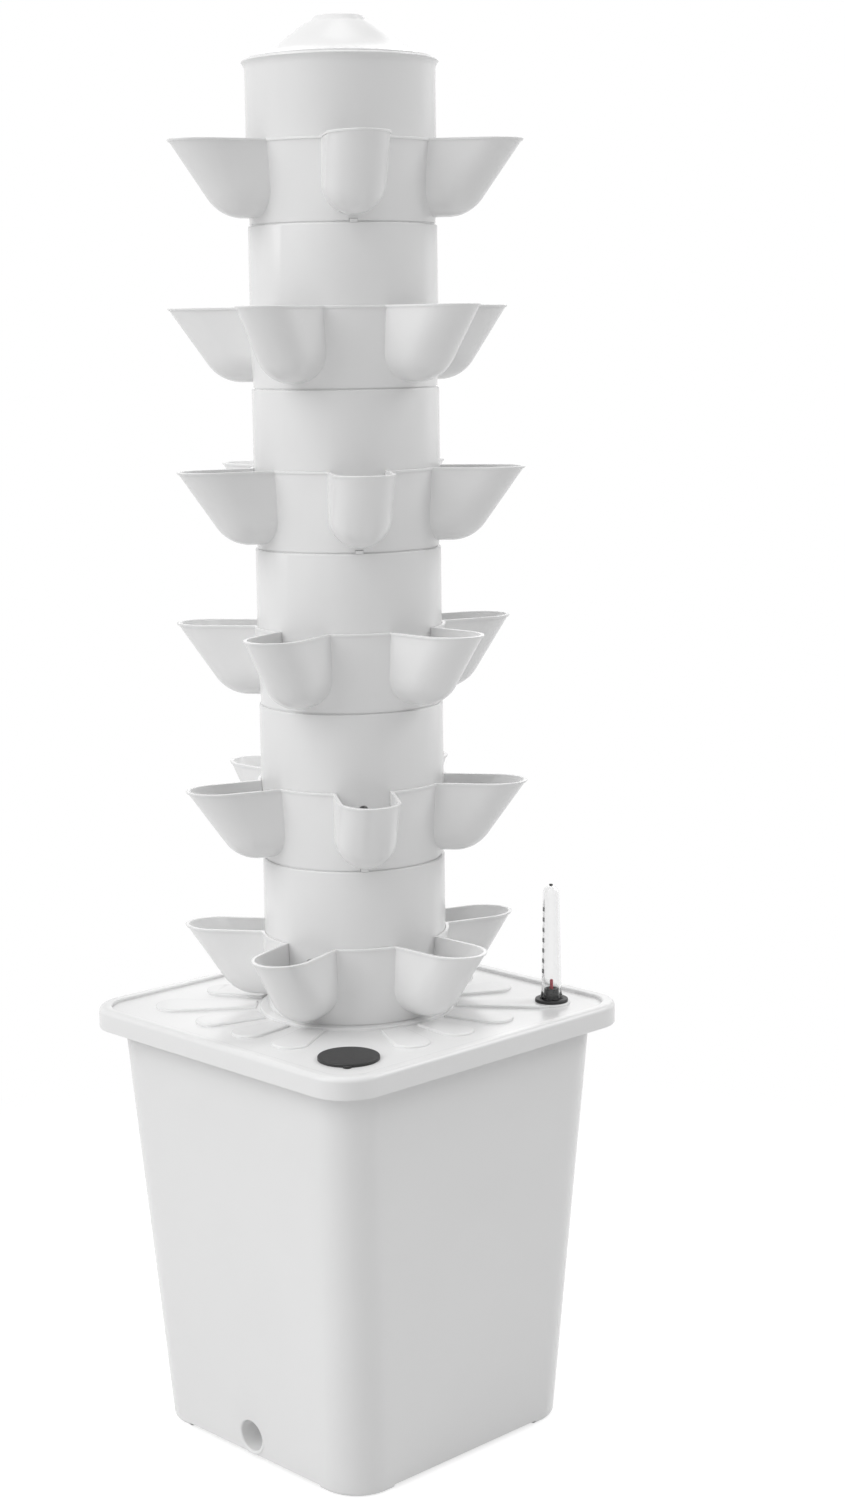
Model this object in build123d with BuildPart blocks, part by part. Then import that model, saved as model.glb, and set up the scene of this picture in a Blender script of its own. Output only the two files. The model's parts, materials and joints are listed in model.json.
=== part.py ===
from build123d import *
import os
from math import asin, cos, degrees, radians, sin, sqrt, tan

# Hydroponic tower: a square water tank, a lid, and six planting tiers stacked on the lid.
# Millimetres, +Z up, origin on the floor under the middle of the tank.
# The drain is on the -Y side, the filler cap and the gauge stand over the two +X corners.

# Tank
tank_draft = 18.5
tank_rim_height = 285.6
tank_corner = 28.5
tank_wall = 2.6
tank_floor = 2.6
tank_rim_flange = 4.0
tank_rim_flange_height = 2.5
tank_base_round = 4.0
tank_inner_round = 6.0
foot_height = 3.0
foot_length = 34.0

# Drain
drain_bore = 20.4
drain_sill = 2.1
drain_socket_wall = 2.4
drain_shoulder_depth = 21.0
drain_neck_length = 4.0
drain_neck_bore = 15.6
drain_mouth_round = 1.5
drain_gap = 0.3
drain_head = 2.5
drain_slot_width = 3.0
drain_slot_length = 10.0
drain_slot_depth = 1.4
drain_seal_height = 1.5

# Lid
lid_width = 260.0
lid_overhang = 11.5
lid_corner = 28.0
lid_thickness = 2.4
lid_skirt = 14.0
lid_border = 9.0
lid_border_rise = 2.0
lid_edge_round = 3.5
lid_step_round = 1.6
lid_rib_height = 6.0
lid_rib_thickness = 2.0
lid_rib_gap = 0.9
boss_margin = 4.5
boss_rise = 2.0
boss_round = 0.9
filler_inset = 30.5
gauge_inset = 26.5
petal_count = 16
petal_half_angle = 7.0
petal_reach = 105.5
petal_rise = 1.6
petal_round = 1.3
petal_root_gap = 2.0
petal_spread = 0.7

# Filler cap
filler_hole = 34.0
filler_angle = 315.0
filler_ledge = 2.5
filler_cap_height = 2.2
filler_cap_round = 0.8
filler_plug_gap = 0.4
filler_plug_depth = 9.0
filler_plug_wall = 2.0
filler_tab_width = 5.5
filler_tab_reach = 2.6

# Water level gauge
gauge_hole = 14.0
gauge_neck_gap = 0.2
gauge_ledge = 4.0
gauge_flange_height = 2.0
gauge_flange_round = 0.7
gauge_seat_margin = 1.5
gauge_seat_round = 1.0
gauge_spigot = 10.8
gauge_spigot_height = 2.4
gauge_nipple = 9.8
gauge_nipple_height = 4.4
gauge_nipple_round = 0.5
gauge_recess = 6.4
gauge_recess_depth = 1.0
gauge_tube_tip = 10.8
gauge_tube_wall = 1.0
gauge_tube_gap = 0.2
gauge_tube_flare = 1.2
gauge_tube_flare_height = 5.0
gauge_vent_width = 1.8
gauge_vent_height = 0.9
gauge_vent_flange = 0.3
stem_width = 2.2
stem_gap = 0.5
stem_showing = 6.0
stem_headroom = 6.0
stem_tip_round = 0.7
float_width = 20.0
float_height = 30.0
float_round = 2.0
float_travel = 58.0
float_cage_gap = 1.0
float_cage_wall = 2.0
float_cage_floor = 2.0
float_cage_sill = 6.0
float_cage_windows = 4
float_cage_bar = 4.0

# Tiers
tier_count = 6
tube_radius = 60.0
tube_wall = 2.4
tube_exposed = 50.0
tube_edge_round = 0.8
skirt_depth = 34.0
skirt_gap = 0.15
window_half_width = 13.0
window_crown = 3.0
window_drop = 8.4
ring_height = 51.5
seam_ledge = 1.5
seam_gap = 1.0
seam_neck = 0.7
collar_wall = 1.6
spigot_wall = 2.2
spigot_depth = 8.0
slide_gap = 0.3
key_width = 5.0
key_height = 2.0
key_gap = 0.3
cups_per_tier = 5
cup_projection = 56.2
cup_half_width = 19.0
cup_wall = 1.7
cup_foot_rise = 4.2
cup_lean = 35.6
cup_heel_round = 8.0
rim_bead = 0.6
rim_bead_height = 1.5
rim_round = 0.4
first_cup_angle = -36.0
tier_turn = 180.0

# Top cap and drip tray
lip_flare = 2.0
lip_height = 6.0
lip_round = 1.2
cap_seat_depth = 8.0
cap_seat_ledge = 1.0
tray_thickness = 2.0
tray_hole = 3.0
tray_hole_count = 20
tray_hole_inset = 9.6
tray_dish = 4.0
tray_dish_margin = 6.0
tray_collar_wall = 2.0
tray_collar_height = 6.0
cap_brim_rise = 1.2
cap_thickness = 2.0
knob_height = 3.8
cap_waist_radius = 35.0
cap_waist_height = 12.6
cap_waist_slope = 41.0
cap_shoulder_radius = 21.0
cap_shoulder_height = 23.2
knob_ledge = 3.0
knob_draft = 2.4
knob_rim = 3.9
knob_dish_depth = 1.6
knob_round = 1.2
knob_foot_round = 1.2

# Riser pipe
riser_width = 16.0
riser_wall = 2.0
riser_sections = 4
riser_over_tray = 2.0
riser_fit = 0.1
coupler_wall = 2.0
coupler_length = 30.0
coupler_stop = 1.2
tray_riser_gap = 0.5

# Pump
pump_width = 42.0
pump_length = 46.0
pump_height = 40.0
pump_round = 4.0
pump_boss_margin = 1.5
pump_cover_thickness = 3.0
pump_chamber_radius = 14.0
pump_chamber_depth = 14.0
pump_well_radius = 7.5
pump_well_depth = 25.0
pump_shaft_width = 2.5
pump_shaft_socket = 2.0
pump_port = 7.2
pump_boss_radius = 8.5
pump_boss_height = 10.0
pump_gland_radius = 4.5
pump_gland_rise = 10.0
pump_gland_length = 6.0
impeller_gap = 0.7
impeller_bore_gap = 0.3
impeller_disc = 1.8
impeller_vanes = 6
impeller_vane = 1.6
impeller_hub_radius = 4.0
intake_slot_width = 2.6
intake_slot_count = 6
intake_slot_length = 24.0
outlet_flange_height = 2.0
outlet_nozzle_length = 14.0
pump_foot_radius = 7.0
pump_foot_height = 8.0
pump_foot_neck = 3.5
pump_foot_lip = 2.0
pump_foot_inset = 9.0

# Heights and radii that follow from the sizes above
tank_rim_width = lid_width - 2 * lid_overhang
tank_base_width = tank_rim_width - 2 * tank_draft
drain_height = foot_height + drain_sill + drain_bore / 2
floor_top = foot_height + tank_floor
panel_top = tank_rim_height + lid_thickness
border_top = panel_top + lid_border_rise
stack_base = panel_top + boss_rise
tier_pitch = ring_height + tube_exposed
stack_top = stack_base + tier_count * tier_pitch
tube_bore = tube_radius - tube_wall
boss_radius = tube_radius + boss_margin
spigot_radius = tube_bore - slide_gap
seat_inner_radius = spigot_radius - spigot_wall
ring_seam_radius = spigot_radius + seam_ledge
seam_neck_radius = spigot_radius + seam_neck
collar_bore = tube_radius + skirt_gap
collar_radius = collar_bore + collar_wall
cup_reach = tube_radius + cup_projection
collar_slope = (collar_radius - ring_seam_radius) / ring_height
notch_arc = degrees(2 * asin((key_width / 2 + key_gap) / tube_radius))
filler_offset = tank_rim_width / 2 - filler_inset
filler_place = (filler_offset, -filler_offset)
filler_cap_width = filler_hole + 2 * filler_ledge
gauge_offset = tank_rim_width / 2 - gauge_inset
gauge_place = (gauge_offset, gauge_offset)
coupler_radius = riser_width / 2 + riser_fit + coupler_wall
cap_seat_radius = tube_bore + cap_seat_ledge
cap_rim_radius = cap_seat_radius - slide_gap
tray_hole_ring = tube_bore - tray_hole_inset
knob_radius = cap_shoulder_radius - knob_ledge
knob_top_radius = knob_radius - knob_draft
knob_dish_radius = knob_top_radius - knob_rim
tray_seat = stack_top - cap_seat_depth
tray_top = tray_seat + tray_thickness
pump_front = pump_boss_radius + pump_boss_margin
pump_bottom = floor_top + pump_foot_height
pump_top = pump_bottom + pump_height
pump_axis_height = pump_bottom + pump_height / 2
riser_bottom = pump_top + pump_boss_height + outlet_flange_height
riser_top = tray_top + tray_collar_height + riser_over_tray
section_length = (riser_top - riser_bottom - (riser_sections - 1) * coupler_stop) / riser_sections
gauge_flange = gauge_hole + 2 * gauge_ledge
gauge_seat_top = panel_top + petal_rise
gauge_flange_top = gauge_seat_top + gauge_flange_height
stem_guide_top = gauge_flange_top + gauge_spigot_height + gauge_nipple_height
stem_bore = stem_width + 2 * stem_gap
stem_top = stem_guide_top + stem_showing
tube_tip_height = stem_top + float_travel + stem_headroom
float_cage_radius = float_width / 2 + float_cage_gap
float_top = tank_rim_height - lid_thickness - float_cage_gap - float_travel
float_bottom = float_top - float_height

os.makedirs("parts", exist_ok=True)


def tank_width_at(height):
    """Outside width of the tapered tank at a height."""
    return tank_base_width + 2 * tank_draft * height / tank_rim_height


def save(piece, name):
    """Label a finished piece and write it as its own node."""
    piece.label = name
    export_step(piece, f"parts/{name}.step")


# Tank: tapered shell on four corner feet, with the drain socket moulded into its -Y wall
drain_face = tank_width_at(drain_height) / 2
socket_length = drain_shoulder_depth + drain_neck_length
socket_radius = drain_bore / 2 + drain_socket_wall
drain_plane = Plane((0, -drain_face, drain_height), x_dir=(1, 0, 0), z_dir=(0, 1, 0))

with BuildPart() as tank:
    for height in (0, tank_rim_height):
        with BuildSketch(Plane.XY.offset(height)):
            RectangleRounded(tank_width_at(height), tank_width_at(height), tank_corner)
    loft()
    fillet(tank.faces().sort_by(Axis.Z)[0].edges(), tank_base_round)
    with BuildSketch(Plane.XY.offset(tank_rim_height)):
        RectangleRounded(tank_rim_width + 2 * tank_rim_flange, tank_rim_width + 2 * tank_rim_flange,
                         tank_corner + tank_rim_flange)
    extrude(amount=-tank_rim_flange_height)

with BuildPart() as tank_hollow:
    for height in (floor_top, tank_rim_height):
        inner_width = tank_width_at(height) - 2 * tank_wall
        with BuildSketch(Plane.XY.offset(height)):
            RectangleRounded(inner_width, inner_width, tank_corner - tank_wall)
    loft()
    fillet(tank_hollow.faces().sort_by(Axis.Z)[0].edges(), tank_inner_round)


def drain_mouth(shell):
    """Edge where the drain's bore meets the outside of the wall."""
    mouth = (0, -drain_face, drain_height)
    return shell.edges().filter_by(lambda edge: edge.distance_to(mouth) < drain_bore).sort_by(Axis.Y)[0]


with BuildPart() as drain_socket:
    with BuildSketch(drain_plane):
        Circle(socket_radius)
    extrude(amount=socket_length)

with BuildPart() as reservoir:
    add(tank.part)
    add(tank_hollow.part, mode=Mode.SUBTRACT)
    add(drain_socket.part)
    with BuildSketch(drain_plane.offset(-tank_wall)):
        Circle(drain_bore / 2)
    extrude(amount=tank_wall + drain_shoulder_depth, mode=Mode.SUBTRACT)
    with BuildSketch(drain_plane):
        Circle(drain_neck_bore / 2)
    extrude(amount=socket_length, mode=Mode.SUBTRACT)
    fillet(drain_mouth(reservoir), drain_mouth_round)
    gap_length = tank_base_width - 2 * foot_length
    with BuildSketch():
        Rectangle(gap_length, 2 * tank_base_width)
        Rectangle(2 * tank_base_width, gap_length)
    extrude(amount=foot_height, mode=Mode.SUBTRACT)
save(reservoir.part, "reservoir")

# Drain plug and its seal, seated on the socket's shoulder
seal_plane = drain_plane.offset(drain_shoulder_depth)
head_plane = seal_plane.offset(-drain_seal_height)

with BuildPart() as drain_seal:
    with BuildSketch(seal_plane):
        Circle(drain_bore / 2 - drain_gap)
        Circle(drain_neck_bore / 2 - drain_gap / 2, mode=Mode.SUBTRACT)
    extrude(amount=-drain_seal_height)
save(drain_seal.part, "drain_seal")

with BuildPart() as drain_plug:
    with BuildSketch(head_plane):
        Circle(drain_bore / 2 - drain_gap)
    extrude(amount=-drain_head)
    with BuildSketch(head_plane):
        Circle(drain_neck_bore / 2 - drain_gap)
    extrude(amount=drain_seal_height + drain_neck_length)
    with BuildSketch(head_plane.offset(-drain_head)):
        SlotOverall(drain_slot_length, drain_slot_width, rotation=90)
    extrude(amount=drain_slot_depth, mode=Mode.SUBTRACT)
save(drain_plug.part, "drain_plug")

# Lid: skirted square plate with a raised border, petals, and a boss with the tower's hole
skirt_bottom = border_top - lid_skirt
border_inner = lid_width - 2 * lid_border
step_outer = border_inner + 2 * lid_thickness
skirt_inner = lid_width - 2 * lid_thickness
rib_width = tank_rim_width - 2 * tank_wall - 2 * lid_rib_gap
rib_corner = tank_corner - tank_wall - lid_rib_gap


def lid_corner_for(width):
    """Corner radius of an outline set in from the lid's edge."""
    return lid_corner - (lid_width - width) / 2


def petal_length(angle):
    """Reach of a petal: a straight row along each side, further out towards the corners."""
    away = abs((angle + 45) % 90 - 45)
    return petal_reach / cos(radians(away)) ** petal_spread


def petal(angle):
    """Raised tongue on the lid's panel, with radial sides and a round end."""
    reach = petal_length(angle)
    root = boss_radius + petal_root_gap
    half = radians(petal_half_angle)
    shoulder = reach / (1 + tan(half) / cos(half)) / cos(half) ** 2
    with BuildPart(mode=Mode.PRIVATE) as tongue:
        with BuildSketch(Plane.XY.offset(panel_top).rotated((0, 0, angle))):
            with BuildLine():
                side = Line((root, -root * tan(half)), (shoulder, -shoulder * tan(half)))
                tip = ThreePointArc(side @ 1, (reach, 0), (shoulder, shoulder * tan(half)))
                far_side = Line(tip @ 1, (root, root * tan(half)))
                Line(far_side @ 1, side @ 0)
            make_face()
        extrude(amount=petal_rise)
        fillet(tongue.faces().sort_by(Axis.Z)[-1].edges(), petal_round)
    return tongue.part


def module_angle(tier):
    """Turn of a tier about the tower's axis: each is half a turn from the next."""
    return first_cup_angle + tier_turn * ((tier - 1) % 2)


def index_key(height, angle):
    """Tab on the rim that holds up a tier, which fits the notch in that tier's foot."""
    arc = degrees(2 * asin(key_width / 2 / tube_radius))
    with BuildPart(mode=Mode.PRIVATE) as tab:
        with BuildSketch(Plane.XZ.rotated((0, 0, angle - arc / 2))):
            with Locations((tube_radius, height)):
                Rectangle(tube_wall, key_height, align=(Align.MAX, Align.MIN))
        revolve(axis=Axis.Z, revolution_arc=arc)
    return tab.part


petal_angles = [360 / petal_count * step for step in range(petal_count)]
petal_angles = [angle for angle in petal_angles if abs(angle - filler_angle) > petal_half_angle]

with BuildPart() as tower_boss:
    with BuildSketch(Plane.XY.offset(tank_rim_height)):
        Circle(boss_radius)
    extrude(amount=stack_base - tank_rim_height)
    fillet(tower_boss.faces().sort_by(Axis.Z)[-1].edges(), boss_round)

with BuildPart() as gauge_seat:
    with BuildSketch(Plane.XY.offset(panel_top)):
        with Locations(gauge_place):
            Circle(gauge_flange / 2 + gauge_seat_margin)
    extrude(amount=petal_rise)
    fillet(gauge_seat.faces().sort_by(Axis.Z)[-1].edges(), gauge_seat_round)

with BuildPart() as reservoir_lid:
    with BuildSketch(Plane.XY.offset(skirt_bottom)):
        RectangleRounded(lid_width, lid_width, lid_corner)
    extrude(amount=lid_skirt)
    fillet(reservoir_lid.faces().sort_by(Axis.Z)[-1].edges(), lid_edge_round)
    with BuildSketch(Plane.XY.offset(panel_top)):
        RectangleRounded(border_inner, border_inner, lid_corner_for(border_inner))
    extrude(amount=lid_border_rise, mode=Mode.SUBTRACT)
    fillet(reservoir_lid.faces().sort_by(Axis.Z)[-1].inner_wires()[0].edges(), lid_step_round)
    with BuildSketch(Plane.XY.offset(skirt_bottom)):
        RectangleRounded(skirt_inner, skirt_inner, lid_corner_for(skirt_inner))
    extrude(amount=tank_rim_height - skirt_bottom, mode=Mode.SUBTRACT)
    with BuildSketch(Plane.XY.offset(tank_rim_height)):
        RectangleRounded(skirt_inner, skirt_inner, lid_corner_for(skirt_inner))
        RectangleRounded(step_outer, step_outer, lid_corner_for(step_outer), mode=Mode.SUBTRACT)
    extrude(amount=lid_border_rise, mode=Mode.SUBTRACT)
    with BuildSketch(Plane.XY.offset(tank_rim_height)):
        RectangleRounded(rib_width, rib_width, rib_corner)
        RectangleRounded(rib_width - 2 * lid_rib_thickness, rib_width - 2 * lid_rib_thickness,
                         rib_corner - lid_rib_thickness, mode=Mode.SUBTRACT)
    extrude(amount=-lid_rib_height)
    add(tower_boss.part)
    for angle in petal_angles:
        add(petal(angle))
    add(gauge_seat.part)
    with BuildSketch(Plane.XY.offset(tank_rim_height)):
        Circle(spigot_radius + slide_gap)
        with Locations(filler_place):
            Circle(filler_hole / 2)
        with Locations(gauge_place):
            Circle(gauge_hole / 2)
    extrude(amount=stack_base - tank_rim_height, mode=Mode.SUBTRACT)
    add(index_key(stack_base, module_angle(tier_count)))
save(reservoir_lid.part, "reservoir_lid")

# Filler cap: a low disc with a hollow plug under it and a lift tab towards the lid's corner
with BuildPart() as filler_cap:
    with BuildSketch(Plane.XY.offset(panel_top)):
        with Locations(filler_place):
            Circle(filler_cap_width / 2)
    extrude(amount=filler_cap_height)
    fillet(filler_cap.faces().sort_by(Axis.Z)[-1].edges(), filler_cap_round)
    with BuildSketch(Plane.XY.offset(panel_top)):
        with Locations(Location(filler_place, filler_angle)):
            SlotOverall(filler_cap_width + 2 * filler_tab_reach, filler_tab_width)
            with Locations((-filler_cap_width / 2, 0)):
                Rectangle(filler_cap_width, filler_tab_width, mode=Mode.SUBTRACT)
    extrude(amount=filler_cap_height - filler_cap_round)
    with BuildSketch(Plane.XY.offset(panel_top)):
        with Locations(filler_place):
            Circle(filler_hole / 2 - filler_plug_gap)
            Circle(filler_hole / 2 - filler_plug_gap - filler_plug_wall, mode=Mode.SUBTRACT)
    extrude(amount=-filler_plug_depth)
save(filler_cap.part, "filler_cap")

# Water level gauge: black collar through the lid, clear tube over it, red pin on a caged float
gauge_axis = Plane((*gauge_place, 0))
gauge_side = Plane((*gauge_place, 0), x_dir=(1, 0, 0), z_dir=(0, -1, 0))
gauge_line = Axis((*gauge_place, 0), (0, 0, 1))
neck_bottom = tank_rim_height - float_cage_floor
spigot_top = gauge_flange_top + gauge_spigot_height

with BuildPart() as gauge_collar:
    with BuildSketch(gauge_axis.offset(gauge_seat_top)):
        Circle(gauge_flange / 2)
    extrude(amount=gauge_flange_height)
    fillet(gauge_collar.faces().sort_by(Axis.Z)[-1].edges(), gauge_flange_round)
    with BuildSketch(gauge_axis.offset(gauge_flange_top)):
        Circle(gauge_spigot / 2)
    extrude(amount=gauge_spigot_height)
    with BuildSketch(gauge_axis.offset(spigot_top)):
        Circle(gauge_nipple / 2)
    extrude(amount=gauge_nipple_height)
    fillet(gauge_collar.faces().sort_by(Axis.Z)[-1].edges(), gauge_nipple_round)
    with BuildSketch(gauge_axis.offset(stem_guide_top)):
        Circle(gauge_recess / 2)
    extrude(amount=-gauge_recess_depth, mode=Mode.SUBTRACT)
    with BuildSketch(gauge_axis.offset(neck_bottom)):
        Circle(gauge_hole / 2 - gauge_neck_gap)
    extrude(amount=gauge_seat_top - neck_bottom)
    with BuildSketch(gauge_axis.offset(neck_bottom)):
        Circle(stem_bore / 2)
    extrude(amount=stem_guide_top - neck_bottom, mode=Mode.SUBTRACT)
save(gauge_collar.part, "gauge_collar")

tip_radius = gauge_tube_tip / 2
tip_bore = tip_radius - gauge_tube_wall
base_bore = gauge_spigot / 2 + gauge_tube_gap
foot_radius = base_bore + gauge_tube_wall + gauge_tube_flare
flare_top = gauge_flange_top + gauge_tube_flare_height
dome_start = tube_tip_height - tip_radius
vent_radius = gauge_vent_width / 2

with BuildPart() as gauge_tube:
    with BuildSketch(gauge_side):
        with BuildLine():
            outside = RadiusArc((tip_radius, dome_start), (vent_radius, tube_tip_height), -tip_radius)
            inside = RadiusArc((tip_bore, dome_start), (vent_radius, dome_start + tip_bore), -tip_bore)
            Line(outside @ 1, inside @ 1)
            Polyline(outside @ 0, (base_bore + gauge_tube_wall, flare_top), (foot_radius, gauge_flange_top),
                     (base_bore, gauge_flange_top), (base_bore, flare_top), inside @ 0)
        make_face()
    revolve(axis=gauge_line)
save(gauge_tube.part, "gauge_tube")

with BuildPart() as gauge_vent:
    with BuildSketch(gauge_axis.offset(tube_tip_height)):
        Circle(vent_radius + gauge_vent_flange)
    extrude(amount=gauge_vent_height)
    fillet(gauge_vent.faces().sort_by(Axis.Z)[-1].edges(), gauge_vent_flange)
    with BuildSketch(gauge_axis.offset(tube_tip_height)):
        Circle(vent_radius - gauge_neck_gap)
    extrude(amount=-gauge_tube_wall)
save(gauge_vent.part, "gauge_vent")

with BuildPart() as gauge_float:
    with BuildSketch(gauge_axis.offset(float_bottom)):
        Circle(float_width / 2)
    extrude(amount=float_height)
    fillet(gauge_float.edges(), float_round)
    with BuildSketch(gauge_axis.offset(float_bottom)):
        Circle(stem_width / 2)
    extrude(amount=float_height, mode=Mode.SUBTRACT)
save(gauge_float.part, "gauge_float")

with BuildPart() as gauge_stem:
    with BuildSketch(gauge_axis.offset(float_bottom)):
        Circle(stem_width / 2)
    extrude(amount=stem_top - float_bottom)
    fillet(gauge_stem.faces().sort_by(Axis.Z)[-1].edges(), stem_tip_round)
save(gauge_stem.part, "gauge_stem")

cage_bottom = float_bottom - float_cage_floor
cage_outer = float_cage_radius + float_cage_wall
window_bottom = float_bottom + float_cage_sill
window_height = neck_bottom - float_cage_sill - window_bottom
window_width = 2 * cage_outer * sin(radians(180 / float_cage_windows)) - float_cage_bar

with BuildPart() as float_cage:
    with BuildSketch(gauge_axis.offset(cage_bottom)):
        Circle(cage_outer)
    extrude(amount=tank_rim_height - cage_bottom)
    with BuildSketch(gauge_axis.offset(float_bottom)):
        Circle(float_cage_radius)
    extrude(amount=neck_bottom - float_bottom, mode=Mode.SUBTRACT)
    with BuildSketch(gauge_axis.offset(cage_bottom)):
        Circle(gauge_hole / 2)
    extrude(amount=tank_rim_height - cage_bottom, mode=Mode.SUBTRACT)
    for step in range(float_cage_windows):
        turn = step * 360 / float_cage_windows
        with BuildSketch(Plane((*gauge_place, window_bottom)).rotated((0, 0, turn))):
            with Locations((cage_outer, 0)):
                Rectangle(cage_outer, window_width)
        extrude(amount=window_height, mode=Mode.SUBTRACT)
save(float_cage.part, "float_cage")

# Planting ring, in its own frame: seam at the bottom of the collar, first cup along +X
lean = radians(cup_lean)
heel_height = cup_foot_rise + cup_half_width
spine_rim = cup_reach - (cup_half_width + rim_bead) / cos(lean)
spine_heel = spine_rim - (ring_height - heel_height) * tan(lean)
spine_over = cup_half_width * (1 + tan(lean))
spine_top = (spine_rim + spine_over * tan(lean), ring_height + spine_over)
seat_height = ring_height - skirt_depth
seat_bore = collar_bore - collar_slope * skirt_depth
cup_root = sqrt(seat_inner_radius ** 2 - cup_half_width ** 2) - cup_wall


def cup_form(half_width):
    """Scoop with upright sides, a leaning front and a round bottom, cut off level at the rim."""
    corners = [(cup_root, heel_height), (spine_heel, heel_height), spine_top]
    with BuildPart(mode=Mode.PRIVATE) as form:
        with BuildLine(Plane.XZ) as spine:
            FilletPolyline(*corners, radius=cup_heel_round)
        with BuildSketch(Plane((cup_root, 0, heel_height), x_dir=(0, 1, 0), z_dir=(1, 0, 0))):
            Circle(half_width)
            Rectangle(2 * half_width, half_width, align=(Align.CENTER, Align.MIN), mode=Mode.SUBTRACT)
        sweep(path=spine.line)
        with BuildSketch(Plane.XZ):
            with BuildLine():
                FilletPolyline(*corners, radius=cup_heel_round)
                Polyline(spine_top, (cup_root, spine_top[1]), (cup_root, heel_height))
            make_face()
        extrude(amount=half_width, both=True)
        split(bisect_by=Plane.XY.offset(ring_height), keep=Keep.BOTTOM)
    return form.part


with BuildPart() as cup_bead:
    add(cup_form(cup_half_width + rim_bead))
    split(bisect_by=Plane.XY.offset(ring_height - rim_bead_height), keep=Keep.TOP)

cup_outside = cup_form(cup_half_width)
cup_pocket = cup_form(cup_half_width - cup_wall)

with BuildPart() as planting_ring:
    with BuildSketch(Plane.XZ):
        with BuildLine():
            Polyline((0, ring_height), (collar_radius, ring_height), (ring_seam_radius, seam_gap),
                     (seam_neck_radius, seam_gap), (seam_neck_radius, 0), (spigot_radius, 0),
                     (spigot_radius, -spigot_depth), (0, -spigot_depth), close=True)
        make_face()
    revolve(axis=Axis.Z)
    with BuildSketch(Plane.XY.offset(ring_height)):
        Circle(collar_radius + rim_bead)
    extrude(amount=-rim_bead_height)
    with PolarLocations(0, cups_per_tier):
        add(cup_outside)
        add(cup_bead.part)
    with BuildSketch(Plane.XZ):
        with BuildLine():
            Polyline((0, -spigot_depth), (seat_inner_radius, -spigot_depth),
                     (seat_inner_radius, seat_height), (seat_bore, seat_height),
                     (collar_bore, ring_height), (0, ring_height), close=True)
        make_face()
    revolve(axis=Axis.Z, mode=Mode.SUBTRACT)
    with PolarLocations(0, cups_per_tier):
        add(cup_pocket, mode=Mode.SUBTRACT)
    fillet(planting_ring.edges().filter_by_position(Axis.Z, ring_height, ring_height), rim_round)
    with BuildSketch(Plane.XZ.rotated((0, 0, -notch_arc / 2))):
        with Locations((tube_bore - slide_gap / 2, 0)):
            Rectangle(tube_wall + slide_gap, key_height + key_gap, align=(Align.MIN, Align.MIN))
    revolve(axis=Axis.Z, revolution_arc=notch_arc, mode=Mode.SUBTRACT)

# Tubes, in the same frame as their ring: a tapered skirt seated in the collar, an arch at each cup
arch_crown = ring_height - window_drop
arch_drop = window_half_width
skirt_taper = collar_slope * skirt_depth

with BuildPart() as arch_cut:
    with BuildSketch(Plane((seat_inner_radius - tube_wall, 0, arch_crown - window_crown),
                           x_dir=(0, 1, 0), z_dir=(1, 0, 0))):
        Circle(window_crown)
        with Locations((0, -arch_drop)):
            Rectangle(2 * window_half_width, skirt_depth, align=(Align.CENTER, Align.MAX))
        make_hull()
    extrude(amount=tube_radius - seat_inner_radius + 2 * tube_wall)

with BuildPart() as tube_blank:
    with BuildSketch(Plane.XZ):
        with BuildLine():
            Polyline((tube_radius, tier_pitch), (tube_bore, tier_pitch), (tube_bore, ring_height),
                     (tube_bore - skirt_taper, seat_height), (tube_radius - skirt_taper, seat_height),
                     (tube_radius, ring_height), close=True)
        make_face()
    revolve(axis=Axis.Z)
    with PolarLocations(0, cups_per_tier):
        add(arch_cut.part, mode=Mode.SUBTRACT)

with BuildPart() as tier_tube:
    add(tube_blank.part)
    rim_edges = tier_tube.edges().filter_by(GeomType.CIRCLE).group_by(Axis.Z)[-1]
    fillet(rim_edges.sort_by(SortBy.RADIUS)[-1], tube_edge_round)
    add(index_key(tier_pitch, tier_turn))

lip_radius = tube_radius + lip_flare
with BuildPart() as top_tube:
    add(tube_blank.part)
    with BuildSketch(Plane.XZ):
        with BuildLine():
            flare = TangentArc((tube_radius, tier_pitch - lip_height), (lip_radius, tier_pitch - lip_round),
                               tangent=(0, 1))
            crown = RadiusArc(flare @ 1, (lip_radius - lip_round, tier_pitch), -lip_round)
            Polyline(crown @ 1, (tube_bore, tier_pitch), (tube_bore, tier_pitch - lip_height), flare @ 0)
        make_face()
    revolve(axis=Axis.Z)
    with BuildSketch(Plane.XY.offset(tier_pitch)):
        Circle(cap_seat_radius)
    extrude(amount=-cap_seat_depth, mode=Mode.SUBTRACT)

# The six tiers: each ring and tube set on the one below, half a turn from it
for tier in range(1, tier_count + 1):
    place = Location((0, 0, stack_base + (tier_count - tier) * tier_pitch), (0, 0, module_angle(tier)))
    with BuildPart() as placed_ring:
        with Locations(place):
            add(planting_ring.part)
    save(placed_ring.part, f"tier_{tier}_ring")
    with BuildPart() as placed_tube:
        with Locations(place):
            add(top_tube.part if tier == 1 else tier_tube.part)
    save(placed_tube.part, f"tier_{tier}_tube")

# Drip tray: a holed dish that hangs on the top tube's seat, with a collar round the riser
tray_floor = tray_seat - tray_dish
dish_radius = tray_hole_ring + tray_dish_margin
dish_bore = dish_radius - tray_thickness
dish_top = tray_floor + tray_thickness
tray_collar_top = tray_top + tray_collar_height
collar_inner = riser_width / 2 + tray_riser_gap
collar_outer = collar_inner + tray_collar_wall

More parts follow.
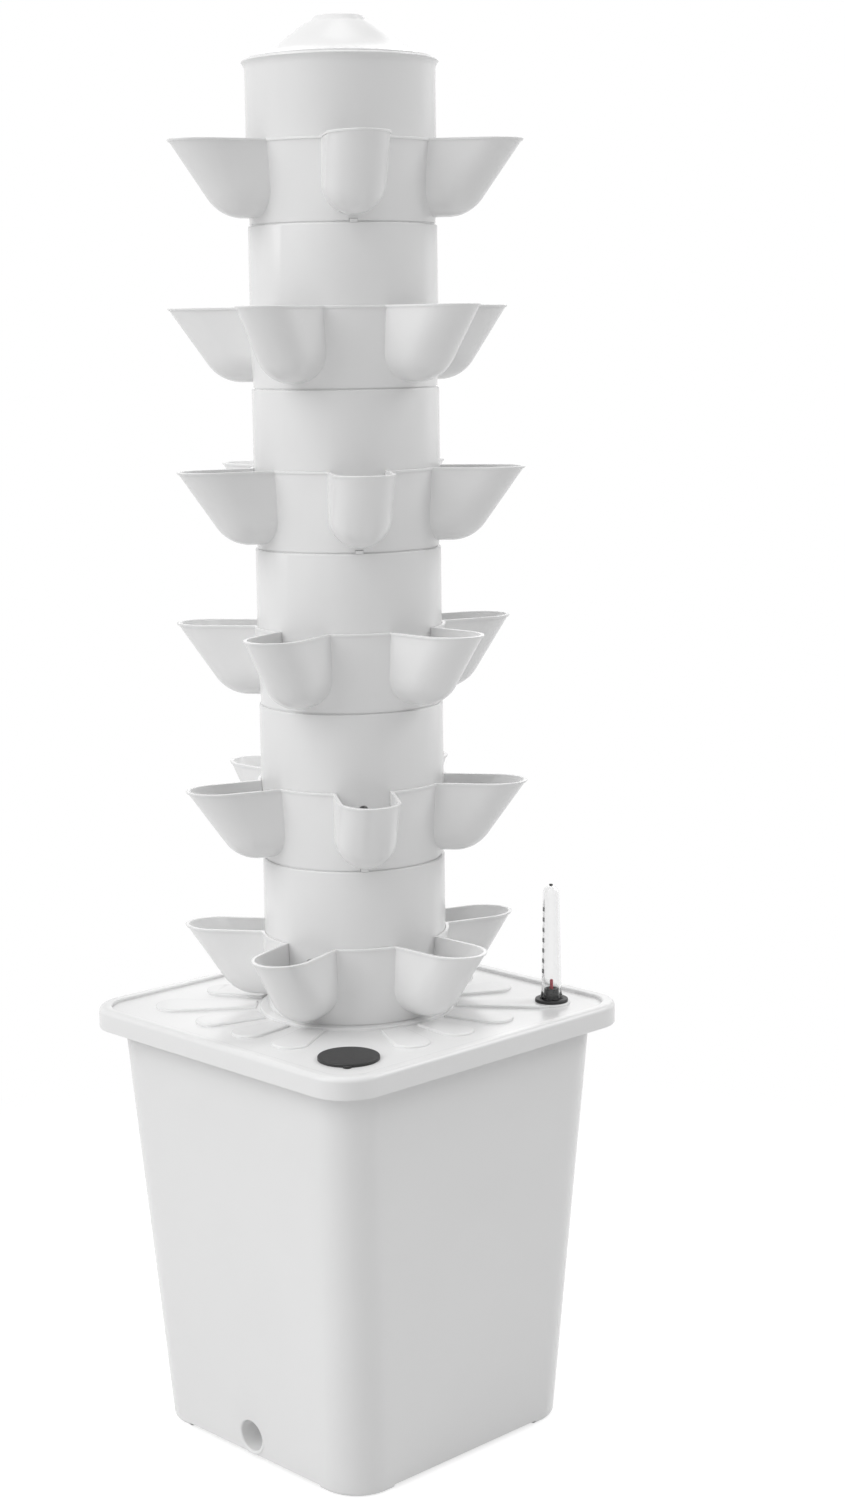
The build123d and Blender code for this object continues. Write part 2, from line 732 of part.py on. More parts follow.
with BuildPart() as drip_tray:
    with BuildSketch(Plane.XZ):
        with BuildLine():
            Polyline((collar_inner, tray_floor), (dish_radius, tray_floor), (dish_radius, tray_seat),
                     (cap_rim_radius, tray_seat), (cap_rim_radius, tray_top), (dish_bore, tray_top),
                     (dish_bore, dish_top), (collar_outer, dish_top), (collar_outer, tray_collar_top),
                     (collar_inner, tray_collar_top), close=True)
        make_face()
    revolve(axis=Axis.Z)
    with BuildSketch(Plane.XY.offset(tray_floor)):
        with PolarLocations(tray_hole_ring, tray_hole_count):
            Circle(tray_hole / 2)
    extrude(amount=tray_thickness, mode=Mode.SUBTRACT)
save(drip_tray.part, "drip_tray")

# Top cap: a bell with a flared brim and a flat dished knob, let into the top tube's lip
brim = (cap_rim_radius, stack_top + cap_brim_rise)
waist = (cap_waist_radius, stack_top + cap_waist_height)
shoulder = (cap_shoulder_radius, stack_top + cap_shoulder_height)
cap_top = shoulder[1] + knob_height
slope = radians(cap_waist_slope)
downhill = (cos(slope), -sin(slope))
uphill = (-cos(slope), sin(slope))
inner_waist = (waist[0] - cap_thickness * sin(slope), waist[1] - cap_thickness * cos(slope))
inner_brim = (brim[0] - cap_thickness, brim[1] - cap_thickness)
inner_shoulder = (shoulder[0], shoulder[1] - cap_thickness)

with BuildPart() as top_cap:
    with BuildSketch(Plane.XZ):
        with BuildLine():
            TangentArc(waist, brim, tangent=downhill)
            Polyline(brim, (brim[0], tray_top), (inner_brim[0], tray_top), inner_brim)
            TangentArc(inner_waist, inner_brim, tangent=downhill)
            TangentArc(inner_waist, inner_shoulder, tangent=uphill)
            Polyline(inner_shoulder, (0, inner_shoulder[1]), (0, cap_top - knob_dish_depth),
                     (knob_dish_radius, cap_top - knob_dish_depth), (knob_dish_radius, cap_top),
                     (knob_top_radius, cap_top), (knob_radius, shoulder[1]), shoulder)
            TangentArc(waist, shoulder, tangent=uphill)
        make_face()
    revolve(axis=Axis.Z)
    fillet(top_cap.edges().filter_by(GeomType.CIRCLE).group_by(Axis.Z)[-1], knob_round)
    circles = top_cap.edges().filter_by(GeomType.CIRCLE)
    fillet(circles.filter_by_position(Axis.Z, shoulder[1], shoulder[1]), knob_foot_round)
save(top_cap.part, "top_cap")

# Riser: pipe lengths up the middle of the tower, each stood in the coupler below it
riser_radius = riser_width / 2
section_pitch = section_length + coupler_stop

for section in range(1, riser_sections + 1):
    start = riser_bottom + (section - 1) * section_pitch
    with BuildPart() as riser_pipe:
        with BuildSketch(Plane.XY.offset(start)):
            Circle(riser_radius)
            Circle(riser_radius - riser_wall, mode=Mode.SUBTRACT)
        extrude(amount=section_length)
    save(riser_pipe.part, f"riser_pipe_{section}")

for joint in range(1, riser_sections):
    stop = riser_bottom + joint * section_pitch - coupler_stop
    with BuildPart() as riser_coupler:
        with BuildSketch(Plane.XY.offset(stop - (coupler_length - coupler_stop) / 2)):
            Circle(coupler_radius)
            Circle(riser_radius + riser_fit, mode=Mode.SUBTRACT)
        extrude(amount=coupler_length)
        with BuildSketch(Plane.XY.offset(stop)):
            Circle(coupler_radius)
            Circle(riser_radius - riser_wall, mode=Mode.SUBTRACT)
        extrude(amount=coupler_stop)
    save(riser_coupler.part, f"riser_coupler_{joint}")

# Pump: a block on four suckers, its impeller behind a slotted cover, its port under the riser
pump_face = Plane((0, -pump_front, pump_axis_height), x_dir=(1, 0, 0), z_dir=(0, 1, 0))
well_end = pump_chamber_depth + pump_well_depth

with BuildPart() as pump_body:
    with BuildSketch(pump_face):
        RectangleRounded(pump_width, pump_height, pump_round)
    extrude(amount=pump_length)
    with BuildSketch(Plane.XY.offset(pump_axis_height)):
        Circle(pump_boss_radius)
    extrude(amount=pump_top + pump_boss_height - pump_axis_height)
    with BuildSketch(pump_face.offset(pump_length)):
        with Locations((0, pump_gland_rise)):
            Circle(pump_gland_radius)
    extrude(amount=pump_gland_length)
    with BuildSketch(pump_face):
        Circle(pump_chamber_radius)
    extrude(amount=pump_chamber_depth, mode=Mode.SUBTRACT)
    with BuildSketch(pump_face):
        Circle(pump_well_radius)
    extrude(amount=well_end, mode=Mode.SUBTRACT)
    with BuildSketch(pump_face):
        Circle(pump_shaft_width / 2)
    extrude(amount=well_end + pump_shaft_socket, mode=Mode.SUBTRACT)
    with BuildSketch(Plane.XY.offset(pump_axis_height)):
        Circle(pump_port / 2)
    extrude(amount=pump_top + pump_boss_height - pump_axis_height, mode=Mode.SUBTRACT)
save(pump_body.part, "pump_body")

with BuildPart() as pump_cover:
    with BuildSketch(pump_face):
        RectangleRounded(pump_width, pump_height, pump_round)
    extrude(amount=-pump_cover_thickness)
    slot_pitch = (pump_width - 2 * pump_round) / intake_slot_count
    with BuildSketch(pump_face):
        with GridLocations(slot_pitch, 0, intake_slot_count, 1):
            SlotOverall(intake_slot_length, intake_slot_width, rotation=90)
    extrude(amount=-pump_cover_thickness, mode=Mode.SUBTRACT)
    with BuildSketch(pump_face):
        Circle(pump_shaft_width / 2)
    extrude(amount=-pump_shaft_socket, mode=Mode.SUBTRACT)
save(pump_cover.part, "pump_cover")

with BuildPart() as pump_shaft:
    with BuildSketch(pump_face.offset(-pump_shaft_socket)):
        Circle(pump_shaft_width / 2)
    extrude(amount=2 * pump_shaft_socket + well_end)
save(pump_shaft.part, "pump_shaft")

vane_radius = pump_chamber_radius - 2 * impeller_gap
vane_length = pump_chamber_depth - 2 * impeller_gap - impeller_disc

with BuildPart() as pump_impeller:
    with BuildSketch(pump_face.offset(impeller_gap)):
        Circle(impeller_hub_radius)
        with PolarLocations(vane_radius / 2, impeller_vanes):
            Rectangle(vane_radius, impeller_vane)
    extrude(amount=vane_length)
    with BuildSketch(pump_face.offset(pump_chamber_depth - impeller_gap)):
        Circle(vane_radius)
    extrude(amount=-impeller_disc)
    with BuildSketch(pump_face.offset(pump_chamber_depth - impeller_gap)):
        Circle(pump_well_radius - impeller_gap)
    extrude(amount=pump_well_depth)
    with BuildSketch(pump_face):
        Circle(pump_shaft_width / 2 + impeller_bore_gap)
    extrude(amount=well_end, mode=Mode.SUBTRACT)
save(pump_impeller.part, "pump_impeller")

foot_middle = pump_length / 2 - pump_front
foot_across = pump_width / 2 - pump_foot_inset
foot_along = pump_length / 2 - pump_foot_inset
foot_places = [(x, foot_middle + y) for x in (-foot_across, foot_across) for y in (-foot_along, foot_along)]

for number, (across, along) in enumerate(foot_places, start=1):
    with BuildPart() as pump_foot:
        with BuildSketch(Plane((across, along, 0), x_dir=(1, 0, 0), z_dir=(0, -1, 0))):
            with BuildLine():
                Polyline((0, pump_bottom), (pump_foot_neck, pump_bottom),
                         (pump_foot_neck, floor_top + pump_foot_lip), (pump_foot_radius, floor_top),
                         (0, floor_top), close=True)
            make_face()
        revolve(axis=Axis((across, along, 0), (0, 0, 1)))
    save(pump_foot.part, f"pump_foot_{number}")

with BuildPart() as pump_outlet:
    with BuildSketch(Plane.XY.offset(pump_top + pump_boss_height)):
        Circle(pump_boss_radius)
    extrude(amount=outlet_flange_height)
    with BuildSketch(Plane.XY.offset(riser_bottom)):
        Circle(riser_radius - riser_wall - riser_fit)
    extrude(amount=outlet_nozzle_length)
    with BuildSketch(Plane.XY.offset(pump_top + pump_boss_height)):
        Circle(pump_port / 2)
    extrude(amount=outlet_flange_height + outlet_nozzle_length, mode=Mode.SUBTRACT)
save(pump_outlet.part, "pump_outlet")
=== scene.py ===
# %% [markdown]
# # A hydroponic tower
# Six planting tiers stand on a square water tank. Nearly every piece of it is injection-moulded plastic,
# so the lesson is about one hard thing: making plain white plastic look like plastic.
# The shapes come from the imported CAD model, which is loaded first and never moved.

# %% Load the frame
import json
from math import pi, radians

import bpy
from mathutils import Matrix, Vector


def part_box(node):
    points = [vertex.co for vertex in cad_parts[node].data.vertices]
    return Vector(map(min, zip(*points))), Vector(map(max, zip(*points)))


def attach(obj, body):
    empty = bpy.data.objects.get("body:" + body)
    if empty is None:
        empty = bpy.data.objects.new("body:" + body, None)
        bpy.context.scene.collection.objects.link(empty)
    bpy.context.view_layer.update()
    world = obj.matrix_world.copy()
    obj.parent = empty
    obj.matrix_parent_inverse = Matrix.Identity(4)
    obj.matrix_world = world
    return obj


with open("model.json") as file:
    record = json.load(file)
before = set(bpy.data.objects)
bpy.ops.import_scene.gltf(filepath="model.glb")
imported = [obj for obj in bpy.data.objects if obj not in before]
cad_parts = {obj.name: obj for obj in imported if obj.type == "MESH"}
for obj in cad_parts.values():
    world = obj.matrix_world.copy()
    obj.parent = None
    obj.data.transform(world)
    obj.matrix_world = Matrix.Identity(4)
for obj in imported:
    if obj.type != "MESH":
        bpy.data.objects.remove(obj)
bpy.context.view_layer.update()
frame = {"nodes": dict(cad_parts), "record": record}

MM = 0.001
nodes = frame["nodes"]

# %% [markdown]
# ## Helpers
# Colours are written as sRGB hex, the way a colour picker gives them, and one function turns them to the
# linear values that shaders need. A second function adds a node with its settings and links, so that each
# tree below reads as a list of what goes into what.

# %% Colour and node helpers


def linear(code):
    """Linear RGBA of an sRGB hex colour."""
    channels = [int(code[start:start + 2], 16) / 255 for start in (1, 3, 5)]
    return [c / 12.92 if c <= 0.04045 else ((c + 0.055) / 1.055) ** 2.4 for c in channels] + [1.0]


def add_node(tree, kind, inputs=None, **settings):
    """Add a node, set its properties, and link or set its inputs."""
    node = tree.nodes.new(kind)
    for name, value in settings.items():
        setattr(node, name, value)
    for socket, value in (inputs or {}).items():
        if isinstance(value, bpy.types.NodeSocket):
            tree.links.new(value, node.inputs[socket])
        else:
            node.inputs[socket].default_value = value
    return node


def per_mm(size):
    """Texture scale, in Object coordinates, for a pattern of this size in millimetres."""
    return 1 / (size * MM)


print("white of the plastic in linear light:", [round(c, 3) for c in linear("#F1F1F1")])

# %% [markdown]
# ## Moulded plastic
# Polypropylene leaves a polished steel mould with a satin skin. The eye reads three things in it: a faint
# grain that softens the highlight, slow waves where the wall sank as it cooled, and a whiteness that is
# never quite even. Each comes from a noise texture, sized in millimetres. Painting the variation into the
# colour alone would look like dirt, so most of it goes to the roughness and the bump.

# %% Moulded plastic

plastic_ior = 1.49
gloss_spread = 0.06
grain_strength = 0.3
grain_depth = 0.03 * MM


def moulded_plastic(name, tint, shade, roughness, grain=1.6, sink=70.0, waves=0.15):
    """Satin plastic. grain and sink are the sizes of its patterns, waves the sink marks' depth, in mm."""
    material = bpy.data.materials.new(name)
    material.use_nodes = True
    tree = material.node_tree
    shader = tree.nodes["Principled BSDF"]
    shader.inputs["IOR"].default_value = plastic_ior
    place = add_node(tree, "ShaderNodeTexCoord").outputs["Object"]
    drift = add_node(tree, "ShaderNodeTexNoise", {"Vector": place, "Scale": per_mm(sink), "Detail": 2.0})
    skin = add_node(tree, "ShaderNodeTexNoise", {"Vector": place, "Scale": per_mm(grain), "Detail": 3.0})
    colour = add_node(tree, "ShaderNodeMix", {0: drift.outputs[0], 6: linear(tint), 7: linear(shade)},
                      data_type="RGBA")
    gloss = add_node(tree, "ShaderNodeMapRange", {"Value": skin.outputs[0],
                                                  "To Min": roughness - gloss_spread,
                                                  "To Max": roughness + gloss_spread})
    sunk = add_node(tree, "ShaderNodeBump", {"Height": drift.outputs[0], "Distance": waves * MM})
    bump = add_node(tree, "ShaderNodeBump", {"Height": skin.outputs[0], "Strength": grain_strength,
                                             "Distance": grain_depth, "Normal": sunk.outputs[0]})
    tree.links.new(colour.outputs[2], shader.inputs["Base Color"])
    tree.links.new(gloss.outputs[0], shader.inputs["Roughness"])
    tree.links.new(bump.outputs[0], shader.inputs["Normal"])
    return material


white_polypropylene = moulded_plastic("white_polypropylene", "#F1F1F1", "#EDEDED", 0.24)
black_polypropylene = moulded_plastic("black_polypropylene", "#2C2C2C", "#242425", 0.5, grain=0.9)
red_acetal = moulded_plastic("red_acetal", "#B3243C", "#9C2034", 0.35)
white_pvc = moulded_plastic("extruded_white_pvc", "#E9EAEA", "#E4E5E6", 0.28, grain=0.8)
pump_abs = moulded_plastic("black_abs", "#222224", "#1B1B1D", 0.45, grain=0.9)
foam = moulded_plastic("closed_cell_foam", "#E8E6E0", "#DCDAD3", 0.85, grain=2.2, sink=12.0, waves=0.4)
rubber = moulded_plastic("soft_grey_rubber", "#4A4B4C", "#404142", 0.75, grain=0.7)
printing_ink = moulded_plastic("grey_printing_ink", "#868788", "#7C7D7E", 0.5, grain=0.4)
moulded = [white_polypropylene, black_polypropylene, red_acetal, white_pvc,
           pump_abs, foam, rubber, printing_ink]
print("moulded finishes:", [finish.name for finish in moulded])

# %% [markdown]
# ## Clear tube and steel shaft
# The gauge's tube is clear polystyrene: all of its light goes through, bent by the wall, with faint
# draw lines along it. The pump's shaft is centreless-ground stainless steel, whose scratches run round it.
# A glass shader would do for the tube alone, but the Principled shader serves both, and other programs
# read it. The lines are noise that a Mapping node draws out, along the tube and round the shaft.

# %% Clear polystyrene and ground steel

line_strength = 0.1
line_depth = 0.02 * MM


def drawn_material(name, tint, stretch, line, rough_low, rough_high):
    """A material with fine lines that run one way. line is the size of their noise in mm."""
    material = bpy.data.materials.new(name)
    material.use_nodes = True
    tree = material.node_tree
    shader = tree.nodes["Principled BSDF"]
    shader.inputs["Base Color"].default_value = linear(tint)
    place = add_node(tree, "ShaderNodeTexCoord").outputs["Object"]
    stretched = add_node(tree, "ShaderNodeMapping", {"Vector": place, "Scale": stretch})
    lines = add_node(tree, "ShaderNodeTexNoise", {"Vector": stretched.outputs[0], "Scale": per_mm(line),
                                                  "Detail": 2.0})
    gloss = add_node(tree, "ShaderNodeMapRange", {"Value": lines.outputs[0], "To Min": rough_low,
                                                  "To Max": rough_high})
    bump = add_node(tree, "ShaderNodeBump", {"Height": lines.outputs[0], "Strength": line_strength,
                                             "Distance": line_depth})
    tree.links.new(gloss.outputs[0], shader.inputs["Roughness"])
    tree.links.new(bump.outputs[0], shader.inputs["Normal"])
    return material, shader


# Polystyrene bends light more, at 1.59. A lower value keeps the tube's edges as faint as in the photograph.
clear_ior = 1.4
clear_polystyrene, clear_shader = drawn_material("clear_polystyrene", "#F7F7F7", (1, 1, 0.05), 1.5,
                                                 0.04, 0.08)
clear_shader.inputs["Transmission Weight"].default_value = 1.0
clear_shader.inputs["IOR"].default_value = clear_ior
ground_steel, steel_shader = drawn_material("ground_stainless_steel", "#C8C9CB", (0.1, 1, 0.1), 0.3,
                                            0.2, 0.35)
steel_shader.inputs["Metallic"].default_value = 1.0
print("drawn materials:", clear_polystyrene.name, ground_steel.name)

# %% [markdown]
# ## Finish on the CAD pieces
# The record says which slot each node belongs to, so a small table from slot to material dresses the
# whole object, hidden pieces too: when the lid lifts off, the pump has to look right. Naming the nodes
# one by one would be longer, and one is soon forgotten.

# %% Dress the nodes

finish_of_slot = {
    "white_plastic": white_polypropylene,
    "black_plastic": black_polypropylene,
    "clear_plastic": clear_polystyrene,
    "red_plastic": red_acetal,
    "white_foam": foam,
    "white_pvc": white_pvc,
    "pump_plastic": pump_abs,
    "grey_rubber": rubber,
    "steel": ground_steel,
}
for subpart in frame["record"]["subparts"]:
    for material_slot in nodes[subpart["node"]].material_slots:
        material_slot.material = finish_of_slot[subpart["material_slot"]]

# %% [markdown]
# ## Smooth walls
# A CAD mesh arrives as loose flat triangles, so a round tube would show facets. A Geometry Nodes modifier
# joins them, shades everything smooth, and then marks as sharp each edge that bends more than a limit.
# The CAD mesh itself stays as it was, because a modifier only changes what is drawn.

# %% Geometry Nodes: smooth the shells

weld_distance = 0.002 * MM
sharp_angle = radians(28)


def new_tree(name, sizes):
    """An empty Geometry Nodes tree with a mesh going in, named size inputs, and a mesh going out."""
    tree = bpy.data.node_groups.new(name, "GeometryNodeTree")
    tree.interface.new_socket("Geometry", in_out="INPUT", socket_type="NodeSocketGeometry")
    for size in sizes:
        tree.interface.new_socket(size, in_out="INPUT", socket_type="NodeSocketFloat")
    tree.interface.new_socket("Geometry", in_out="OUTPUT", socket_type="NodeSocketGeometry")
    return tree, add_node(tree, "NodeGroupInput").outputs


def add_modifier(piece, tree, sizes):
    """Put a Geometry Nodes tree on a piece, with its size inputs set by identifier."""
    modifier = piece.modifiers.new(tree.name, "NODES")
    modifier.node_group = tree
    for item in tree.interface.items_tree:
        if item.in_out == "INPUT" and item.name in sizes:
            modifier[item.identifier] = sizes[item.name]
    return modifier


shell_sizes = {"Weld distance": weld_distance, "Sharp angle": sharp_angle}
shell_tree, given = new_tree("smooth_shell", shell_sizes)
bare = add_node(shell_tree, "GeometryNodeRemoveAttribute", {"Geometry": given["Geometry"],
                                                            "Name": "custom_normal"})
welded = add_node(shell_tree, "GeometryNodeMergeByDistance", {"Geometry": bare.outputs[0],
                                                              "Distance": given["Weld distance"]})
smooth = add_node(shell_tree, "GeometryNodeSetShadeSmooth", {"Geometry": welded.outputs[0],
                                                             "Shade Smooth": True}, domain="FACE")
bend = add_node(shell_tree, "GeometryNodeInputMeshEdgeAngle")
sharp = add_node(shell_tree, "FunctionNodeCompare", {0: bend.outputs[0], 1: given["Sharp angle"]},
                 data_type="FLOAT", operation="GREATER_THAN")
creased = add_node(shell_tree, "GeometryNodeSetShadeSmooth", {"Geometry": smooth.outputs[0],
                                                              "Selection": sharp.outputs[0],
                                                              "Shade Smooth": False}, domain="EDGE")
add_node(shell_tree, "NodeGroupOutput", {"Geometry": creased.outputs[0]})
for node_object in nodes.values():
    add_modifier(node_object, shell_tree, shell_sizes)
print("smoothed", len(nodes), "shells")

# %% [markdown]
# ## Scale on the gauge
# Short dark marks are printed in a column on the clear tube, on the side that faces the drain. A texture
# could draw them, but ink has crisp edges and lies on top of the wall, so each mark is a thin ribbon bent
# round the tube. Geometry Nodes sets one ribbon on each point of a line up the tube's axis, and scales it
# to the tube's radius at that height, because the tube tapers.

# %% Geometry Nodes: printed scale

tube_low, tube_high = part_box("gauge_tube")
tube_flare = 1.2 * MM
flare_height = 5.0 * MM
tube_radius = (tube_high[0] - tube_low[0]) / 2 - tube_flare
tip_radius = 5.4 * MM
ink_thickness = 0.1 * MM
scale_sizes = {
    "Axis X": (tube_low[0] + tube_high[0]) / 2,
    "Axis Y": (tube_low[1] + tube_high[1]) / 2,
    "Foot height": tube_low[2] + flare_height,
    "Foot radius": tube_radius,
    "Dome height": tube_high[2] - tip_radius,
    "Dome radius": tip_radius,
    "Lowest mark": tube_low[2] + 19 * MM,
    "Highest mark": tube_low[2] + 61 * MM,
    "Mark height": 2.8 * MM,
    "Mark angle": radians(-112),
    "Mark sweep": radians(30),
    "Ink share": ink_thickness / tube_radius,
}
mark_count = 7
arc_points = 9

scale_tree, given = new_tree("printed_scale", scale_sizes)
lowest = add_node(scale_tree, "ShaderNodeCombineXYZ", {"Z": given["Lowest mark"]})
highest = add_node(scale_tree, "ShaderNodeCombineXYZ", {"Z": given["Highest mark"]})
column = add_node(scale_tree, "GeometryNodeMeshLine", {"Count": mark_count,
                                                       "Start Location": lowest.outputs[0],
                                                       "Offset": highest.outputs[0]}, mode="END_POINTS")
half_sweep = add_node(scale_tree, "ShaderNodeMath", {0: given["Mark sweep"], 1: 0.5}, operation="MULTIPLY")
first_angle = add_node(scale_tree, "ShaderNodeMath", {0: given["Mark angle"], 1: half_sweep.outputs[0]},
                       operation="SUBTRACT")
arc = add_node(scale_tree, "GeometryNodeCurveArc", {"Resolution": arc_points, "Radius": 1.0,
                                                    "Start Angle": first_angle.outputs[0],
                                                    "Sweep Angle": given["Mark sweep"]})
upright = add_node(scale_tree, "GeometryNodeSetCurveNormal", {"Curve": arc.outputs[0]}, mode="Z_UP")
section = add_node(scale_tree, "GeometryNodeCurvePrimitiveQuadrilateral", {"Width": given["Ink share"],
                                                                           "Height": given["Mark height"]})
ribbon = add_node(scale_tree, "GeometryNodeCurveToMesh", {"Curve": upright.outputs[0],
                                                          "Profile Curve": section.outputs[0],
                                                          "Fill Caps": True})
position = add_node(scale_tree, "GeometryNodeInputPosition")
height = add_node(scale_tree, "ShaderNodeSeparateXYZ", {0: position.outputs[0]})
radius = add_node(scale_tree, "ShaderNodeMapRange", {"Value": height.outputs["Z"],
                                                     "From Min": given["Foot height"],
                                                     "From Max": given["Dome height"],
                                                     "To Min": given["Foot radius"],
                                                     "To Max": given["Dome radius"]})
fitted = add_node(scale_tree, "ShaderNodeCombineXYZ", {"X": radius.outputs[0], "Y": radius.outputs[0],
                                                       "Z": 1.0})
marks = add_node(scale_tree, "GeometryNodeInstanceOnPoints", {"Points": column.outputs[0],
                                                              "Instance": ribbon.outputs[0],
                                                              "Scale": fitted.outputs[0]})
axis_place = add_node(scale_tree, "ShaderNodeCombineXYZ", {"X": given["Axis X"], "Y": given["Axis Y"]})
placed = add_node(scale_tree, "GeometryNodeTransform", {"Geometry": marks.outputs[0],
                                                        "Translation": axis_place.outputs[0]})
real = add_node(scale_tree, "GeometryNodeRealizeInstances", {"Geometry": placed.outputs[0]})
inked = add_node(scale_tree, "GeometryNodeSetMaterial", {"Geometry": real.outputs[0],
                                                         "Material": printing_ink})
add_node(scale_tree, "NodeGroupOutput", {"Geometry": inked.outputs[0]})
print("scale of", mark_count, "marks")

# %% [markdown]
# ## From nodes to mesh
# The tree so far is only a recipe. It is run once on an empty object, and its result is kept as a plain
# mesh, because a live modifier would have to be carried along wherever the part goes. The mesh then rides
# on the lid.

# %% Make the scale a plain mesh


def grown(name, tree, sizes, body):
    """Run a Geometry Nodes tree on an empty mesh, keep the result as a plain mesh, and set it on its body."""
    piece = bpy.data.objects.new(name, bpy.data.meshes.new(name))
    bpy.context.scene.collection.objects.link(piece)
    modifier = add_modifier(piece, tree, sizes)
    evaluated = piece.evaluated_get(bpy.context.evaluated_depsgraph_get())
    mesh = bpy.data.meshes.new_from_object(evaluated)
    piece.modifiers.remove(modifier)
    piece.data = mesh
    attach(piece, body)
    print(name, "has", len(mesh.polygons), "faces")
    return piece


gauge_scale = grown("gauge_scale", scale_tree, scale_sizes, "lid")

# %% [markdown]
# ## Camera
# The photograph was taken from about the height of the second tier from the top, turned to look across the
# tank's front corner and a little down, with a short telephoto lens. The camera's place and tilt were worked
# out from the tank's and the lid's corners, the cups' tips and the seams. They are written as real measures
# and not as a matrix, so that each can be read and changed.

# %% Camera

camera_turn = radians(47.55)
camera_distance = 1605.5 * MM
camera_height = 731.7 * MM
camera_tilt = radians(9.61)
camera_yaw = radians(-1.65)
camera_roll = radians(-0.76)
sensor_side = 36.0
lens_length = 59.49

camera_data = bpy.data.cameras.new("camera")
camera_data.sensor_fit = "VERTICAL"
camera_data.sensor_height = sensor_side
camera_data.lens = lens_length
camera = bpy.data.objects.new("camera", camera_data)
camera_stand = Matrix.Rotation(camera_turn, 4, "Z") @ Vector((0, -camera_distance, camera_height))
camera.matrix_world = (Matrix.Translation(camera_stand) @ Matrix.Rotation(camera_turn + camera_yaw, 4, "Z")
                       @ Matrix.Rotation(pi / 2 - camera_tilt, 4, "X")
                       @ Matrix.Rotation(camera_roll, 4, "Z"))
bpy.context.scene.collection.objects.link(camera)
bpy.context.scene.camera = camera
print("camera at", [round(v, 3) for v in camera_stand])

# %% [markdown]
# ## Light
# A large soft box stands to the upper left, so the drain side of the tank is lighter than the gauge side,
# and the tubes fall off from left to right. A second one, behind on the right, fills the tower's shadow on
# the lid and draws the light edge on the right of each tube, which a strip lower down makes crisp. One
# overhead lights the lid and the cap, and two weak ones, in front and behind, keep the other sides from
# going grey. Near lamps would burn out the cap and leave the tank dim. Big ones far away light both alike,
# with the soft shadows of a photographer's light tent.

# %% Lamps

tower_middle = Vector((0, 0, 0.45))


def soft_box(name, place, width, height, power):
    """A rectangular area lamp aimed at the middle of the tower. Sizes are in metres, the power in watts."""
    lamp = bpy.data.lights.new(name, "AREA")
    lamp.shape = "RECTANGLE"
    lamp.size = width
    lamp.size_y = height
    lamp.energy = power
    stand = bpy.data.objects.new(name, lamp)
    aim = tower_middle - Vector(place)
    stand.matrix_world = Matrix.Translation(place) @ aim.to_track_quat("-Z", "Y").to_matrix().to_4x4()
    bpy.context.scene.collection.objects.link(stand)


soft_box("key_light", (-2.7, -7.2, 5.9), 8.0, 8.0, 477)
soft_box("overhead", (0.0, 0.0, 8.9), 6.6, 6.6, 176)
soft_box("right_light", (4.9, 7.2, 7.0), 4.9, 4.9, 330)
soft_box("front_fill", (6.6, -6.1, 6.4), 6.1, 6.1, 75)
soft_box("right_strip", (0.4, 8.0, 1.5), 3.4, 6.1, 24)
soft_box("back_fill", (-5.5, 7.2, 4.5), 5.5, 5.5, 72)
print("lamps:", [lamp.name for lamp in bpy.data.lights])

# %% [markdown]
# ## White room
# The photograph's background is plain white. The world is therefore white wherever the camera, a
# reflection or the clear tube looks at it. The light that it sheds on the object is set apart from that
# and is weaker, because a full white sky would wash out the shading that tells one white piece from the
# next.

# %% World

room_light = 0.32

world = bpy.data.worlds.new("white_room")
bpy.context.scene.world = world
world.use_nodes = True
room = world.node_tree
room.nodes.clear()


def seen_rays(tree):
    """1 for the rays that show a surface to the viewer, straight, mirrored or through the clear tube."""
    ray = add_node(tree, "ShaderNodeLightPath").outputs
    direct = add_node(tree, "ShaderNodeMath", {0: ray["Is Camera Ray"], 1: ray["Is Glossy Ray"]},
                      operation="MAXIMUM")
    return add_node(tree, "ShaderNodeMath", {0: direct.outputs[0], 1: ray["Is Transmission Ray"]},
                    operation="MAXIMUM").outputs[0]


shed = add_node(room, "ShaderNodeBackground", {"Color": linear("#FFFFFF"), "Strength": room_light})
white = add_node(room, "ShaderNodeBackground", {"Color": linear("#FFFFFF"), "Strength": 1.0})
sky = add_node(room, "ShaderNodeMixShader", {0: seen_rays(room), 1: shed.outputs[0], 2: white.outputs[0]})
add_node(room, "ShaderNodeOutputWorld", {"Surface": sky.outputs[0]})
bpy.context.scene.view_settings.view_transform = "Standard"
print("world light on the object:", room_light)

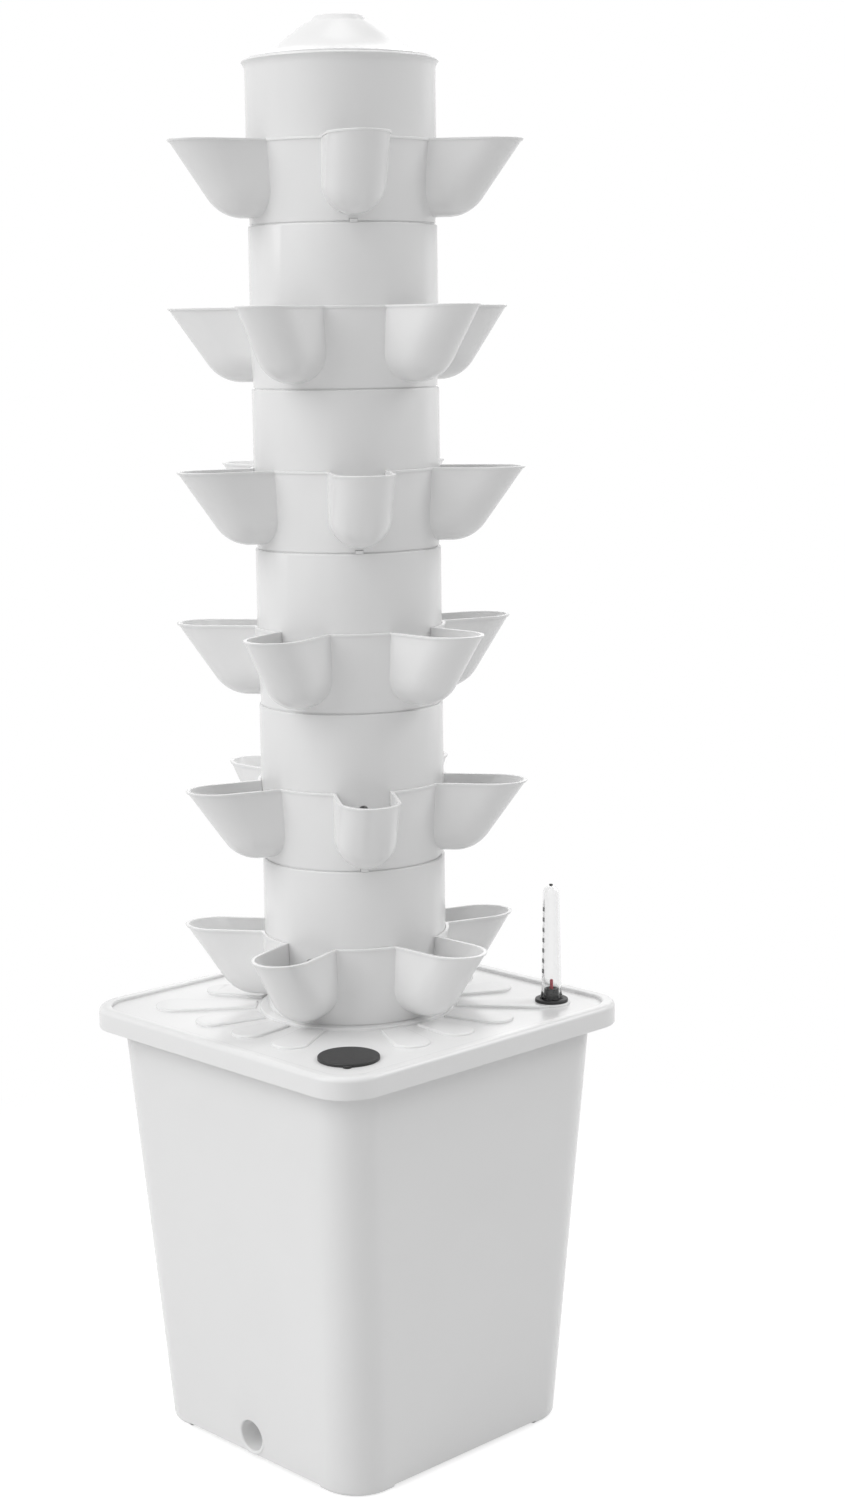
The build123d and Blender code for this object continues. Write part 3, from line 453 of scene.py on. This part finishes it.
# %% [markdown]
# ## Floor
# The tower needs a floor that takes its shadow and then runs out into the white. Near the tank the floor
# is a matt paint that also glows a little, so it is almost white where the lamps reach it and grey where
# the tank shades it. With distance it turns into plain white, which leaves no horizon line. What it throws
# back on the tank is a paint of its own, a plain pale grey, so that the glow doesn't light the object.

# %% Floor

floor_reach = 6.0
floor_glow = 0.68
fade_start = 0.3
fade_end = 0.8

floor_mesh = bpy.data.meshes.new("floor")
floor_corners = [(-floor_reach, -floor_reach, 0), (floor_reach, -floor_reach, 0),
                 (floor_reach, floor_reach, 0), (-floor_reach, floor_reach, 0)]
floor_mesh.from_pydata(floor_corners, [], [(0, 1, 2, 3)])
floor = bpy.data.objects.new("floor", floor_mesh)
bpy.context.scene.collection.objects.link(floor)

floor_paint = bpy.data.materials.new("pale_floor_paint")
floor_paint.use_nodes = True
paint = floor_paint.node_tree
paint.nodes.clear()
matt = add_node(paint, "ShaderNodeBsdfDiffuse", {"Color": linear("#BCBCBC")})
glow = add_node(paint, "ShaderNodeEmission", {"Color": linear("#FFFFFF"), "Strength": floor_glow})
near = add_node(paint, "ShaderNodeAddShader", {0: matt.outputs[0], 1: glow.outputs[0]})
far = add_node(paint, "ShaderNodeEmission", {"Color": linear("#FFFFFF"), "Strength": 1.0})
spot = add_node(paint, "ShaderNodeTexCoord")
away = add_node(paint, "ShaderNodeVectorMath", {0: spot.outputs["Object"]}, operation="LENGTH")
fade = add_node(paint, "ShaderNodeMapRange", {"Value": away.outputs["Value"], "From Min": fade_start,
                                              "From Max": fade_end}, interpolation_type="SMOOTHSTEP")
shown = add_node(paint, "ShaderNodeMixShader", {0: fade.outputs[0], 1: near.outputs[0], 2: far.outputs[0]})
bounce = add_node(paint, "ShaderNodeBsdfDiffuse", {"Color": linear("#DADADA")})
surface = add_node(paint, "ShaderNodeMixShader", {0: seen_rays(paint), 1: bounce.outputs[0],
                                                  2: shown.outputs[0]})
add_node(paint, "ShaderNodeOutputMaterial", {"Surface": surface.outputs[0]})
floor_mesh.materials.append(floor_paint)
print("floor reaches", floor_reach, "m each way")
